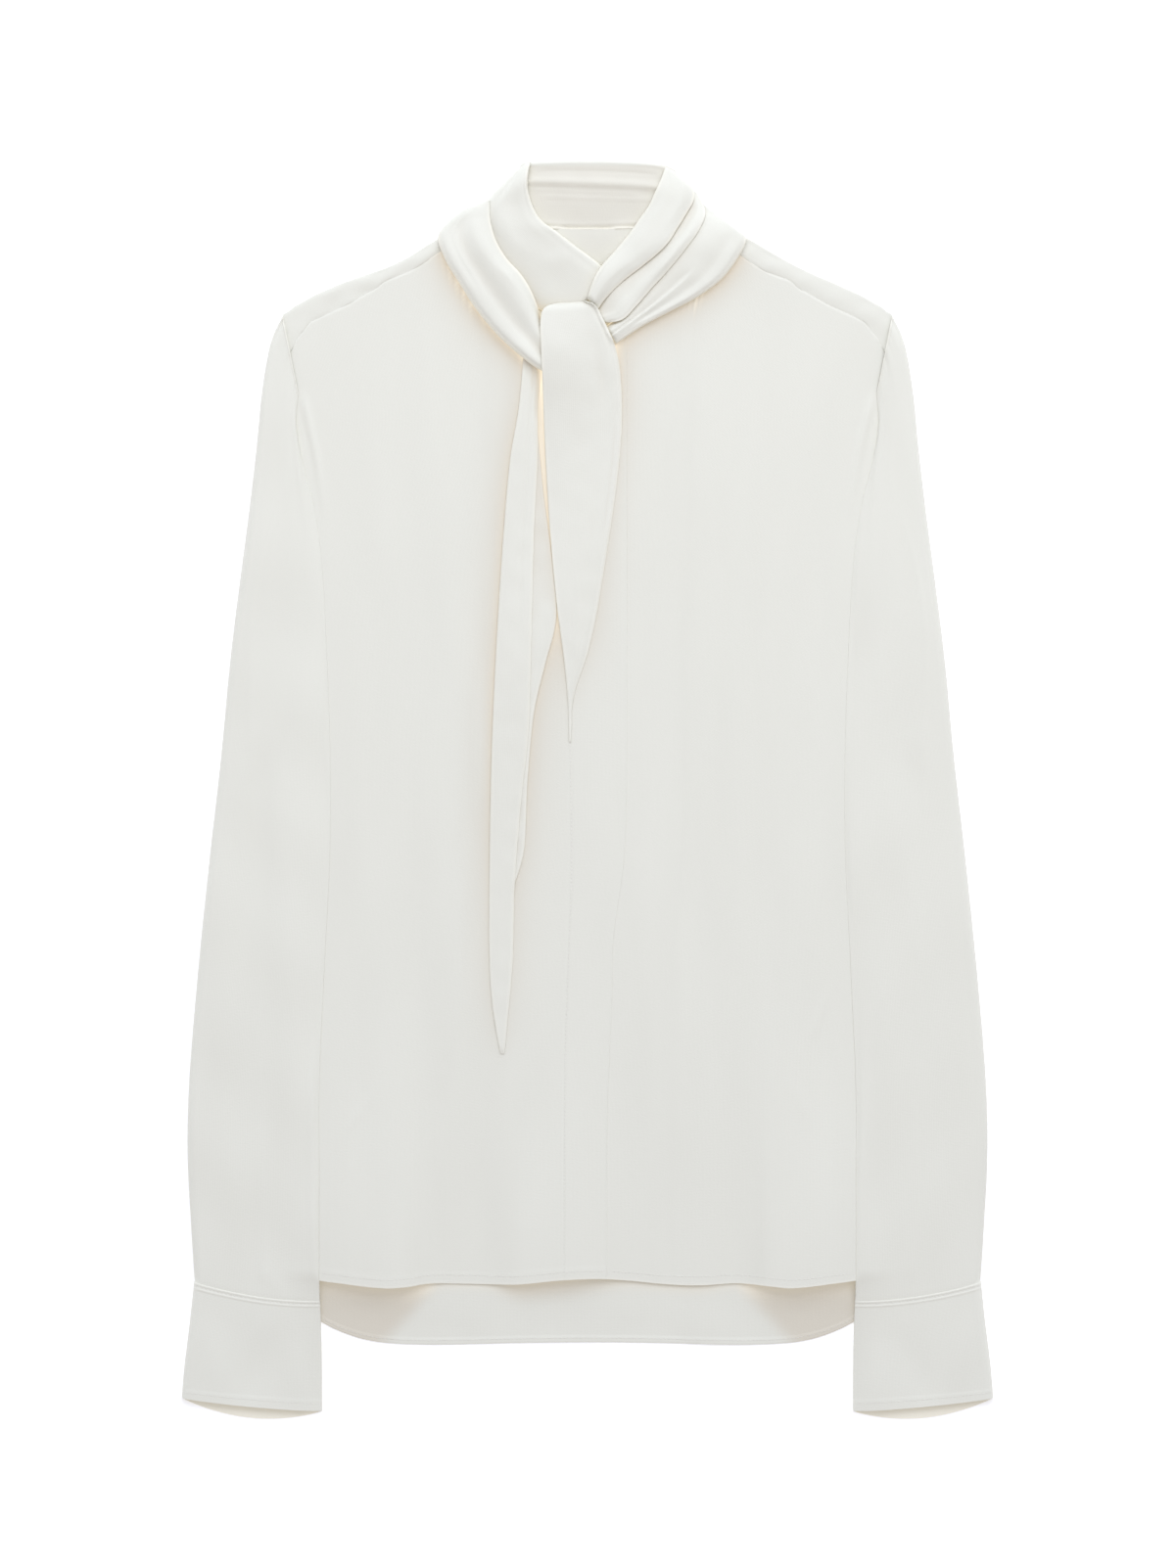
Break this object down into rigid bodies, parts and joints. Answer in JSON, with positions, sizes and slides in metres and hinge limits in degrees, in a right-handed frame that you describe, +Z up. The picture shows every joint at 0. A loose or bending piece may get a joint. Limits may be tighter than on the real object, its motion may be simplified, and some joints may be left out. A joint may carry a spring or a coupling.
{
  "type": "silk blouse",
  "caption": "Long-sleeved silk blouse laid flat, front side up, with a wrapped scarf collar knotted in front and a concealed front placket.",
  "frame": {"origin": "middle of the garment's outline on the surface it lies on", "axes": "+Z up out of the surface towards the blouse's front, +Y from hem to collar, +X towards the wearer's left sleeve"},
  "size_m": [0.5062, 0.7841, 0.0186],
  "materials": {
    "silk_crepe": "ivory silk crepe, fine weave, soft low sheen"
  },
  "bodies": {
    "root": {"back": "silk_crepe", "front_left": "silk_crepe", "front_right": "silk_crepe", "sleeve_left": "silk_crepe", "sleeve_right": "silk_crepe", "cuff_left": "silk_crepe", "cuff_right": "silk_crepe", "collar_back": "silk_crepe", "collar_right": "silk_crepe", "collar_left": "silk_crepe", "scarf_right": "silk_crepe", "scarf_left": "silk_crepe", "scarf_left_fold": "silk_crepe", "tie_front": "silk_crepe", "tie_under": "silk_crepe", "tie_under_fold": "silk_crepe"}
  },
  "joints": []
}
